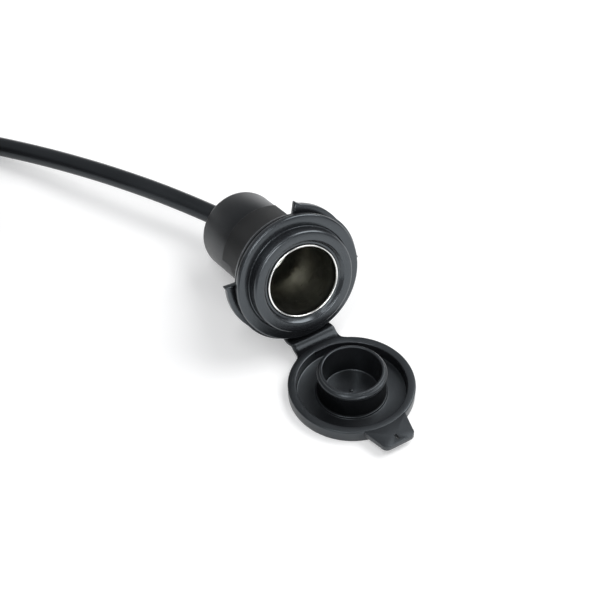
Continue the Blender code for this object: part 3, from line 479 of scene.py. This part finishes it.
def bevel(bm, edges, soft, segments=4):
    """Round these edges."""
    bmesh.ops.bevel(
        bm, geom=edges, offset=soft, segments=segments, profile=0.5, affect="EDGES", material=-1,
        clamp_overlap=True,
    )


def sharp_edges(bm, faces, angle=30.0):
    """The edges of these faces that turn by more than an angle."""
    found = {edge for face in faces for edge in face.edges}
    return [e for e in found if len(e.link_faces) == 2 and e.calc_face_angle(0.0) > math.radians(angle)]


def slab(bm, rings, low, high, soft):
    """Add a flat outline with its holes, raised from low to high, with its edges rounded."""
    edges = []
    for ring in rings:
        verts = [bm.verts.new((x, y, low)) for x, y in ring]
        edges += [bm.edges.new(pair) for pair in zip(verts, verts[1:] + verts[:1])]
    filled = bmesh.ops.triangle_fill(bm, edges=edges, use_beauty=True)["geom"]
    floor = [g for g in filled if isinstance(g, bmesh.types.BMFace)]
    raised = bmesh.ops.extrude_face_region(bm, geom=floor)["geom"]
    moved = [g for g in raised if isinstance(g, bmesh.types.BMVert)]
    bmesh.ops.translate(bm, vec=(0.0, 0.0, high - low), verts=moved)
    faces = {f for v in moved for f in v.link_faces} | {f for f in floor if f.is_valid}
    bmesh.ops.recalc_face_normals(bm, faces=list(faces))
    bevel(bm, sharp_edges(bm, faces, 40.0), soft, 3)


def block(bm, size, centre, soft):
    """Add a box with rounded edges."""
    made = bmesh.ops.create_cube(bm, size=1.0)["verts"]
    bmesh.ops.scale(bm, vec=size, verts=made)
    bmesh.ops.translate(bm, vec=centre, verts=made)
    edges = list({e for v in made for e in v.link_edges})
    bevel(bm, edges, soft, 3)


def arc(centre, radius, start, end, steps):
    """Points on an arc, both ends counted, angles in degrees."""
    turns = [math.radians(start + (end - start) * i / steps) for i in range(steps + 1)]
    return [(centre[0] + radius * math.cos(t), centre[1] + radius * math.sin(t)) for t in turns]


def ease(share):
    """A smooth step from 0 to 1."""
    share = max(0.0, min(1.0, share))
    return share * share * (3.0 - 2.0 * share)


# The lead
def smooth_path(points, spacing):
    """Points about a spacing apart on a smooth curve through the given ones."""
    path = [points[0] * 2 - points[1]] + points + [points[-1] * 2 - points[-2]]
    out = []
    for i in range(1, len(path) - 2):
        a, b, c, d = path[i - 1 : i + 3]
        count = max(1, round((c - b).length / spacing))
        for k in range(count):
            t = k / count
            pull = (c - a) * t + (a * 2 - b * 5 + c * 4 - d) * t**2 + (b * 3 - a - c * 3 + d) * t**3
            out.append(b + pull * 0.5)
    return out + [path[-2]]


def strand_place(number):
    """The radius and height of one of the coil's strands, two to a layer."""
    radius = INNER_STRAND if number % 4 in (1, 2) else OUTER_STRAND
    return radius, LOW_STRAND + STRAND_PITCH * (number // 2)


def coil_point(turns):
    """A point of the coil, by the turns that the lead has made since it reached the coil."""
    radius, height = strand_place(0)
    for number in range(2 * STRAND_LAYERS - 1):
        share = ease((turns - MOVE_START - STRAND_TURNS * number) / MOVE_TURNS)
        (near, low), (far, high) = strand_place(number), strand_place(number + 1)
        radius += (far - near) * share
        height += (high - low) * share
    height += (CONNECTOR_CENTRE.z - height) * ease((turns - CLIMB_START) / CLIMB_TURNS)
    radius += (TAIL_RADIUS - radius) * ease((turns - SWING_START) / SWING_TURNS)
    angle = math.radians(90.0 + 360.0 * turns)
    return COIL_CENTRE + Vector((radius * math.cos(angle), radius * math.sin(angle), height))


def lead_path():
    """The lead's centreline: out of the boot, across the surface, round the coil and over it."""
    start = EXIT - NORMAL * GAP
    free = [EXIT] + [start + Vector(p) for p in ROUTE[1:]]
    steps = round(COIL_TURNS * STEPS_PER_TURN)
    points = smooth_path(free + [coil_point(0.0)], CURVE_SPACING)[:-1]
    return points + [coil_point(COIL_TURNS * i / steps) for i in range(steps + 1)]


def lead(finish):
    """The whole lead, from the boot to the connector."""
    points = lead_path()
    curve = bpy.data.curves.new("lead", "CURVE")
    curve.dimensions = "3D"
    curve.bevel_depth = LEAD_RADIUS * MM
    curve.bevel_resolution = 5
    curve.use_fill_caps = True
    spline = curve.splines.new("POLY")
    spline.points.add(len(points) - 1)
    for point, place in zip(spline.points, points):
        point.co = (*(place * MM), 1.0)
    spline.use_smooth = True
    piece = bpy.data.objects.new("lead", curve)
    bpy.context.scene.collection.objects.link(piece)
    curve.materials.append(finish)
    length = sum((b - a).length for a, b in zip(points, points[1:])) * MM
    put(piece, "socket", "cable", "cable_coil", "cable_tail")


def coil_tie(name, angle, node, finish):
    """A flat tie closed round the coil."""
    turn = math.radians(angle)
    outward = Vector((math.cos(turn), math.sin(turn), 0.0))
    inner = math.sqrt(COIL_INNER**2 - (TIE_WIDTH / 2) ** 2)
    low, high = COIL_BOTTOM - GAP, COIL_TOP + GAP
    near, far = inner - GAP, COIL_OUTER + GAP
    place = axes(outward, UPRIGHT, outward.cross(UPRIGHT), COIL_CENTRE)
    bm = bmesh.new()
    corner = TIE_CORNER
    ring = arc((far - corner, high - corner), corner, 0, 90, 6)
    ring += arc((near + corner, high - corner), corner, 90, 180, 6)
    ring += arc((near + corner, low + corner), corner, 180, 270, 6)
    ring += arc((far - corner, low + corner), corner, 270, 360, 6)
    verts = [bm.verts.new((x, y, -TIE_WIDTH / 2)) for x, y in ring]
    edges = [bm.edges.new(pair) for pair in zip(verts, verts[1:] + verts[:1])]
    for _ in range(6):
        grown = bmesh.ops.extrude_edge_only(bm, edges=edges)["geom"]
        edges = [g for g in grown if isinstance(g, bmesh.types.BMEdge)]
        fresh = list({v for e in edges for v in e.verts})
        bmesh.ops.translate(bm, vec=(0.0, 0.0, TIE_WIDTH / 6), verts=fresh)
    bmesh.ops.recalc_face_normals(bm, faces=bm.faces)
    bmesh.ops.solidify(bm, geom=bm.faces[:], thickness=-TIE_THICKNESS)
    bevel(bm, sharp_edges(bm, bm.faces, 60.0), 0.12, 2)
    piece = keep(name, bm, place, finish)
    return put(piece, "socket", node)


# Socket pieces
def housing(finish, darker):
    """The moulding: raised nose ring, flange, neck and duller barrel with its two raised pads."""
    bm = bmesh.new()
    rings = [
        (HOUSING_BORE, LIP_BACK, 0.0),
        (12.1, LIP_BACK, 0.2),
        (12.8, NOSE_FRONT, 0.3),
        (NOSE_RADIUS, NOSE_FRONT, 0.85),
        (NOSE_RADIUS, FLANGE_FRONT - 0.25, 0.2),
        (16.25, FLANGE_FRONT - 0.25, 0.1),
        (16.4, FLANGE_FRONT, 0.15),
        (FLANGE_RADIUS, FLANGE_FRONT, 0.55),
        (FLANGE_RADIUS, FLANGE_BACK, 0.3),
        (NECK_RADIUS, FLANGE_BACK, 0.0),
        (NECK_RADIUS, NECK_BACK, 0.2),
        (BARREL_RADIUS, NECK_BACK, 0.0),
        (BARREL_RADIUS, HOUSING_BACK, 0.3),
        (HOUSING_BORE, HOUSING_BACK, 0.0),
        (HOUSING_BORE, SLEEVE_SEAT, 0.0),
        (11.75, SLEEVE_SEAT, 0.0),
    ]
    turned(bm, rings, 180)
    for centre in PAD_CENTRES:
        raised_pad(bm, centre)
    piece = keep("socket_housing", bm, SOCKET, finish)
    piece.data.materials.append(darker)
    for face in piece.data.polygons:
        behind = (face.center / MM - FACE_CENTRE).dot(NORMAL) < NECK_BACK - 0.05
        face.material_index = 1 if behind else 0
    return put(piece, "socket", "housing")


def raised_pad(bm, centre):
    """A raised pad on the barrel, with the ridge that the lock ring snaps over."""
    root = BARREL_RADIUS - 0.3
    section = [
        (root, NECK_BACK + 0.3),
        (NECK_RADIUS, NECK_BACK + 0.3),
        (NECK_RADIUS, NECK_BACK),
        (NECK_RADIUS + SNAP_HEIGHT, NECK_BACK - SNAP_LENGTH),
        (NECK_RADIUS, NECK_BACK - 2 * SNAP_LENGTH),
        (NECK_RADIUS, HOUSING_BACK),
        (root, HOUSING_BACK),
    ]
    face = bm.faces.new([bm.verts.new((r, 0.0, z)) for r, z in section])
    before = set(bm.verts)
    corners = list(face.verts)
    start = Matrix.Rotation(math.radians(centre - PAD_WIDTH / 2), 3, "Z")
    bmesh.ops.rotate(bm, cent=(0, 0, 0), matrix=start, verts=corners)
    swept = [face] + list(face.edges) + corners
    turn = math.radians(PAD_WIDTH)
    bmesh.ops.spin(bm, geom=swept, cent=(0, 0, 0), axis=(0, 0, 1), angle=turn, steps=40)
    made = [v for v in bm.verts if v not in before] + corners
    faces = list({f for v in made for f in v.link_faces})
    bmesh.ops.recalc_face_normals(bm, faces=faces)
    bevel(bm, sharp_edges(bm, faces, 50.0), 0.28, 3)


def sleeve(finish):
    """The plated cup, rolled over at its mouth."""
    bm = bmesh.new()
    back, port = -BORE_DEPTH - SLEEVE_WALL, 5.2
    rings = [(BORE_RADIUS, -0.15, 0.0)]
    rings += [(r, z, 0.0) for r, z in arc((BORE_RADIUS + 0.36, 0.0), 0.3, 165.0, 0.0, 10)]
    rings += [(11.3, -0.9, 0.0), (SLEEVE_RADIUS, -0.9, 0.0), (SLEEVE_RADIUS, back, 0.3)]
    rings += [(port, back, 0.0), (port, -BORE_DEPTH, 0.0), (BORE_RADIUS, -BORE_DEPTH, 0.6)]
    turned(bm, rings, 180)
    piece = keep("bore_sleeve", bm, SOCKET, finish)
    return put(piece, "socket", "contact_sleeve")


def bore_bottom(board_finish, brass_finish):
    """The dished insulator, the centre contact and its rivet at the bottom of the bore."""
    bm = bmesh.new()
    rings = [(6.9, -25.8, 0.2), (6.9, -28.7, 0.1), (4.9, -28.7, 0.0), (4.9, -30.9, 0.1), (1.8, -30.9, 0.0)]
    rings += [(1.8, -26.9, 0.0), (5.9, -26.9, 0.2), (5.9, -25.8, 0.2)]
    turned(bm, rings, 96)
    put(keep("dished_insulator", bm, SOCKET, board_finish), "socket", "base_insulator")
    bm = bmesh.new()
    turned(bm, [(4.8, -25.9, 0.15), (4.8, -26.6, 0.1), (1.8, -26.6, 0.0), (1.8, -25.9, 0.1)], 96)
    put(keep("contact_disc", bm, SOCKET, brass_finish), "socket", "centre_contact")
    bm = bmesh.new()
    rings = [(0.0, -24.6, 0.0), (2.0, -24.85, 0.5), (2.9, -25.3, 0.2), (2.9, -25.6, 0.05), (1.5, -25.6, 0.0)]
    rings += [(1.5, -31.9, 0.0), (2.4, -31.9, 0.1), (2.4, -32.4, 0.2), (0.0, -32.9, 0.0)]
    turned(bm, rings, 64, closed=False)
    put(keep("contact_stud", bm, SOCKET, brass_finish), "socket", "contact_rivet")


def lock_radius(angle):
    """The lock ring's outer radius at an angle in degrees: a grip lobe each side of a notch."""
    away = abs(math.remainder(angle - NOTCH_MIDDLE, 180.0)) - NOTCH_HALF
    if away < 0.0:
        return NOTCH_RADIUS
    lobe = LOBE_HEIGHT * math.cos(min(away / LOBE_WIDTH, 1.0) * math.pi / 2)
    return LOCK_RADIUS + lobe + HOOK_HEIGHT * max(0.0, 1.0 - away / HOOK_WIDTH)


def lock_ring(finish):
    """The twist-on ring behind the cap's collar."""
    bm = bmesh.new()
    outer = bmesh.ops.create_circle(bm, segments=288, radius=LOCK_RADIUS)["verts"]
    for vert in outer:
        reach = lock_radius(math.degrees(math.atan2(vert.co.y, vert.co.x)))
        vert.co.xy = vert.co.xy.normalized() * reach
    inner = bmesh.ops.create_circle(bm, segments=288, radius=RING_BORE)["verts"]
    bmesh.ops.bridge_loops(bm, edges=bm.edges[:])
    bmesh.ops.translate(bm, vec=(0.0, 0.0, LOCK_BACK), verts=outer + inner)
    raised = bmesh.ops.extrude_face_region(bm, geom=bm.faces[:])["geom"]
    moved = [g for g in raised if isinstance(g, bmesh.types.BMVert)]
    bmesh.ops.translate(bm, vec=(0.0, 0.0, LOCK_FRONT - LOCK_BACK), verts=moved)
    bmesh.ops.recalc_face_normals(bm, faces=bm.faces)
    bevel(bm, sharp_edges(bm, bm.faces, 60.0), 0.22, 3)
    piece = keep("twist_ring", bm, SOCKET, finish)
    return put(piece, "socket", "lock_ring")


def rear_boot(finish):
    """The boot over the rear, with the lead's hole in its rounded end."""
    bm = bmesh.new()
    rings = [
        (BOOT_RADIUS, BOOT_FRONT, 0.3),
        (BOOT_RADIUS, BOOT_BACK, 1.95),
        (LEAD_RADIUS + GAP, BOOT_BACK, 0.3),
        (LEAD_RADIUS + GAP, BOOT_BACK + BOOT_END_WALL, 0.0),
        (HOUSING_BORE - 0.9, BOOT_BACK + BOOT_END_WALL, 0.0),
        (HOUSING_BORE, BOOT_BACK + BOOT_END_WALL + 0.9, 0.0),
        (HOUSING_BORE, BOOT_FRONT, 0.1),
    ]
    turned(bm, rings, 144)
    piece = keep("end_boot", bm, SOCKET, finish)
    return put(piece, "socket", "rear_boot")


# Cap pieces
def collar(finish):
    """The cap's ring round the neck, in near-black, barely reflective rubber that is painted shade for the
    gap behind the flange.
    """
    bm = bmesh.new()
    rings = [
        (COLLAR_RADIUS, COLLAR_FRONT, 0.45),
        (COLLAR_RADIUS, COLLAR_BACK, 0.45),
        (RING_BORE, COLLAR_BACK, 0.0),
        (RING_BORE, COLLAR_FRONT, 0.0),
    ]
    turned(bm, rings, 180)
    return put(keep("cap_ring", bm, SOCKET, finish), "socket", "cap_collar")


def strap(finish):
    """The strap between the ring and the lid, made open and left on no body, with its place baked in; on the
    cap it bends as the cap closes.
    """
    ring = FACE_CENTRE + NORMAL * ((COLLAR_FRONT + COLLAR_BACK) / 2)
    forward = UPRIGHT.cross(LEVEL)
    half = STRAP_HALF_WIDTH
    stations = [(*(ring - UPWARD * reach), half) for reach in STRAP_ON_COLLAR]
    stations += [(*place, half) for place in (*STRAP_BEND, PIVOT)]
    for reach, height, half in STRAP_ON_LID:
        stations.append((*(LID_CENTRE + forward * reach).xy, height, half))
    rows = smooth_path([Vector(s) for s in stations], 0.45)
    bm = bmesh.new()
    verts = [bm.verts.new(row.xyz) for row in rows]
    edges = [bm.edges.new(pair) for pair in zip(verts, verts[1:])]
    columns = [verts]
    for _ in range(STRAP_COLUMNS):
        grown = bmesh.ops.extrude_edge_only(bm, edges=edges)["geom"]
        edges = [g for g in grown if isinstance(g, bmesh.types.BMEdge)]
        columns.append(list({v for e in edges for v in e.verts}))
    for step, column in enumerate(columns):
        share = 2.0 * step / STRAP_COLUMNS - 1.0
        for vert in column:
            row = min(rows, key=lambda r: (r.xyz - vert.co).length)
            vert.co = row.xyz + LEVEL * (share * row.w)
    bmesh.ops.recalc_face_normals(bm, faces=bm.faces)
    bmesh.ops.solidify(bm, geom=bm.faces[:], thickness=STRAP_THICKNESS)
    under = UPRIGHT * (STRAP_THICKNESS / 2)
    lowest = min(v.co.z for v in bm.verts)
    bmesh.ops.translate(bm, vec=under if lowest < 3.0 else -under, verts=bm.verts)
    bevel(bm, sharp_edges(bm, bm.faces, 60.0), 0.3, 3)
    piece = keep("cap_strap", bm, WORLD, finish)
    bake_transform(piece)
    return piece


def lid(finish, darker):
    """The lid: disc with a raised rim, hollow plug with a bead, its outer side below the bead near black as
    painted shade, and pull tab.
    """
    bm = bmesh.new()
    rings = [
        (0.0, 1.25, 0.0),
        (0.45, 1.2, 0.12),
        (0.6, CUP_FLOOR, 0.1),
        (CUP_RADIUS, CUP_FLOOR, 0.45),
        (CUP_MOUTH_RADIUS, PLUG_HEIGHT, 0.3),
        (9.35, PLUG_HEIGHT, 0.2),
        (9.45, 9.55, 0.1),
        (BEAD_RADIUS, 9.1, 0.45),
        (BEAD_RADIUS, 8.0, 0.5),
        (PLUG_RADIUS, 7.4, 0.15),
        (PLUG_RADIUS, 1.1, 0.25),
        (10.3, 0.95, 0.12),
        (10.55, DISH_FLOOR, 0.1),
        (DISH_RADIUS, DISH_FLOOR, 0.4),
        (DISH_RADIUS, LID_HEIGHT, 0.4),
        (LID_RADIUS, LID_HEIGHT, 0.45),
        (LID_FOOT_RADIUS, 0.0, 0.4),
        (0.0, 0.0, 0.0),
    ]
    turned(bm, rings, 180, closed=False)
    pull_tab(bm)
    piece = keep("cap_lid_moulding", bm, LID, finish)
    piece.data.materials.append(darker)
    for face in piece.data.polygons:
        away = face.center / MM - LID_CENTRE
        # Painted shade: the plug's outer side below the bead takes the near-black finish.
        wall = abs(away.xy.length - PLUG_RADIUS - 0.05) < 0.3 and CUP_FLOOR < away.z < 7.8
        face.material_index = 1 if wall else 0
    return put(piece, "cap", "cap_lid")


def pull_tab(bm):
    """The tab opposite the strap, narrower at its rounded end, with a short slit."""
    corner = arc((3.4, -23.3), 2.0, 0.0, -90.0, 8)
    right = [(6.9, -16.9), (6.9, -17.3)] + [(x, y) for x, y in corner]
    outline = right + [(-x, y) for x, y in reversed(right)]
    slit = [(0.35, -22.3), (-0.35, -22.3), (-0.35, -24.1), (0.35, -24.1)]
    slab(bm, [outline, slit], 2.35, 3.93, 0.22)


# Connector pieces
def connector_shell(finish):
    """The two-way connector's moulding: a pocket at its mouth and grip ribs on its sides."""
    bm = bmesh.new()
    made = bmesh.ops.create_cube(bm, size=1.0)["verts"]
    bmesh.ops.scale(bm, vec=(CONNECTOR_LENGTH, CONNECTOR_WIDTH, CONNECTOR_HEIGHT), verts=made)
    mouth = [f for f in bm.faces if f.normal.x > 0.9]
    bmesh.ops.inset_region(bm, faces=mouth, thickness=CONNECTOR_WALL, depth=0.0)
    bmesh.ops.translate(bm, vec=(-CONNECTOR_POCKET, 0.0, 0.0), verts=list(mouth[0].verts))
    bevel(bm, sharp_edges(bm, bm.faces, 60.0), 0.45, 3)
    for along in RIB_PLACES:
        for side in (-1, 1):
            block(bm, (1.0, 0.5, 6.4), (along, side * (CONNECTOR_WIDTH / 2 + 0.1), 0.0), 0.12)
    piece = keep("lead_connector", bm, CONNECTOR, finish)
    return put(piece, "socket", "connector_housing")


def connector_pins(finish):
    """The two round pins with tapered tips."""
    pieces = []
    for side, node in ((-1, "connector_pin_positive"), (1, "connector_pin_negative")):
        bm = bmesh.new()
        rings = [(0.0, 6.5, 0.0), (0.5, 6.5, 0.15), (0.9, 5.7, 0.2), (0.9, -6.5, 0.1), (0.0, -6.5, 0.0)]
        turned(bm, rings, 32, closed=False)
        bmesh.ops.rotate(bm, cent=(0, 0, 0), matrix=Matrix.Rotation(math.pi / 2, 3, "Y"), verts=bm.verts)
        bmesh.ops.translate(bm, vec=(3.5, side * PIN_SPACING / 2, 0.0), verts=bm.verts)
        pieces.append(put(keep(node + "_turned", bm, CONNECTOR, finish), "socket", node))
    return pieces


def connector_seal(finish):
    """The ribbed rubber seal where the lead enters the connector."""
    bm = bmesh.new()
    rings = [(0.0, 5.0, 0.0), (3.7, 5.0, 0.3), (3.9, 3.9, 0.0), (3.6, 3.5, 0.0), (4.1, 3.1, 0.0)]
    rings += [(4.2, 2.5, 0.0), (3.9, 2.1, 0.0), (4.4, 1.7, 0.0), (4.5, 0.9, 0.0), (4.55, 0.0, 0.1)]
    rings += [(0.0, 0.0, 0.0)]
    turned(bm, rings, 64, closed=False)
    place = axes(UPRIGHT, RIGHT, Vector((0.0, 1.0, 0.0)), CONNECTOR_CENTRE + Vector((0.0, 12.3, 0.0)))
    return put(keep("lead_seal", bm, place, finish), "socket", "connector_seal")


def connector_latch(finish):
    """The sprung latch on top, with its catch."""
    bm = bmesh.new()
    block(bm, (11.0, 5.0, 1.0), (6.5, 0.0, 5.6), 0.25)
    block(bm, (1.6, 5.0, 0.5), (10.9, 0.0, 6.0), 0.15)
    block(bm, (0.9, 4.4, 0.3), (4.4, 0.0, 6.1), 0.08)
    block(bm, (0.9, 4.4, 0.3), (2.6, 0.0, 6.1), 0.08)
    return put(keep("latch", bm, CONNECTOR, finish), "socket", "connector_latch")


# Floor and light
def floor():
    """The pale surface: white to the camera and in reflections, and still shaded by the part."""
    bm = bmesh.new()
    bmesh.ops.create_grid(bm, x_segments=1, y_segments=1, size=4.0)
    mesh = bpy.data.meshes.new("floor")
    bm.to_mesh(mesh)
    bm.free()
    ground = bpy.data.objects.new("floor", mesh)
    ground.location = (0.0, 0.0, -0.00002)
    bpy.context.scene.collection.objects.link(ground)
    finish = Finish("pale_floor", Roughness=0.9, Specular_IOR_Level=0.0)
    finish.set("Base Color", (0.80, 0.80, 0.80, 1.0))
    rays = finish.node("ShaderNodeLightPath")
    seen = Value(finish, rays.socket.node.outputs["Is Camera Ray"])
    mirrored = Value(finish, rays.socket.node.outputs["Is Glossy Ray"])
    through = Value(finish, rays.socket.node.outputs["Is Transmission Ray"])
    glow = finish.node("ShaderNodeEmission", {}, {"Strength": (seen + mirrored + through) * 0.30})
    output = finish.tree.nodes["Material Output"]
    both = finish.node("ShaderNodeAddShader", {}, {0: Value(finish, finish.shader.outputs[0]), 1: glow})
    finish.tree.links.new(both.socket, output.inputs["Surface"])
    mesh.materials.append(finish.material)


def lamp(name, place, target, size, power):
    """A soft square lamp that faces a target."""
    data = bpy.data.lights.new(name, "AREA")
    data.shape = "RECTANGLE"
    data.size, data.size_y = size
    data.energy = power
    light = bpy.data.objects.new(name, data)
    light.location = place
    aim = Vector(target) - Vector(place)
    light.rotation_euler = aim.to_track_quat("-Z", "Y").to_euler()
    bpy.context.scene.collection.objects.link(light)


def studio():
    """A pale room, and its lamps."""
    scene = bpy.context.scene
    world = bpy.data.worlds.new("studio")
    world.use_nodes = True
    background = world.node_tree.nodes["Background"]
    background.inputs["Color"].default_value = (0.95, 0.97, 1.0, 1.0)
    background.inputs["Strength"].default_value = 0.33
    scene.world = world
    for name, facts in LAMPS.items():
        lamp(name, *facts)
    scene.view_settings.view_transform = "Standard"


def dress_hidden(finish):
    """Finishes on the small parts that stay as the frame has them."""
    by_node = {
        "insulator_washer": "board",
        "positive_terminal": "brass",
        "negative_terminal": "brass",
        "negative_rivet": "metal",
        "positive_wire": "red",
        "negative_wire": "sheath",
        "cable_entry": "sheath",
        "cable_clip": "plastic",
    }
    for node, name in by_node.items():
        piece = frame["nodes"][node]
        piece.data.materials.clear()
        piece.data.materials.append(finish[name])


def build():
    """Make the scene."""
    camera()
    finish = finishes()
    ties = [
        coil_tie("tie_near", TIE_ANGLES[0], "coil_tie_near", finish["plastic"]),
        coil_tie("tie_far", TIE_ANGLES[1], "coil_tie_far", finish["plastic"]),
    ]
    pieces = ties + [connector_shell(finish["plastic"]), connector_seal(finish["rubber"])]
    pieces += connector_pins(finish["brass"]) + [connector_latch(finish["plastic"])]
    lead(finish["sheath"])
    housing(finish["plastic"], finish["barrel"])
    sleeve(finish["metal"])
    bore_bottom(finish["board"], finish["contact"])
    lock_ring(finish["plastic"])
    rear_boot(finish["boot"])
    collar(finish["ring"])
    strap(finish["strap"])
    lid(finish["rubber"], finish["ring"])
    dress_hidden(finish)
    floor()
    studio()


build()
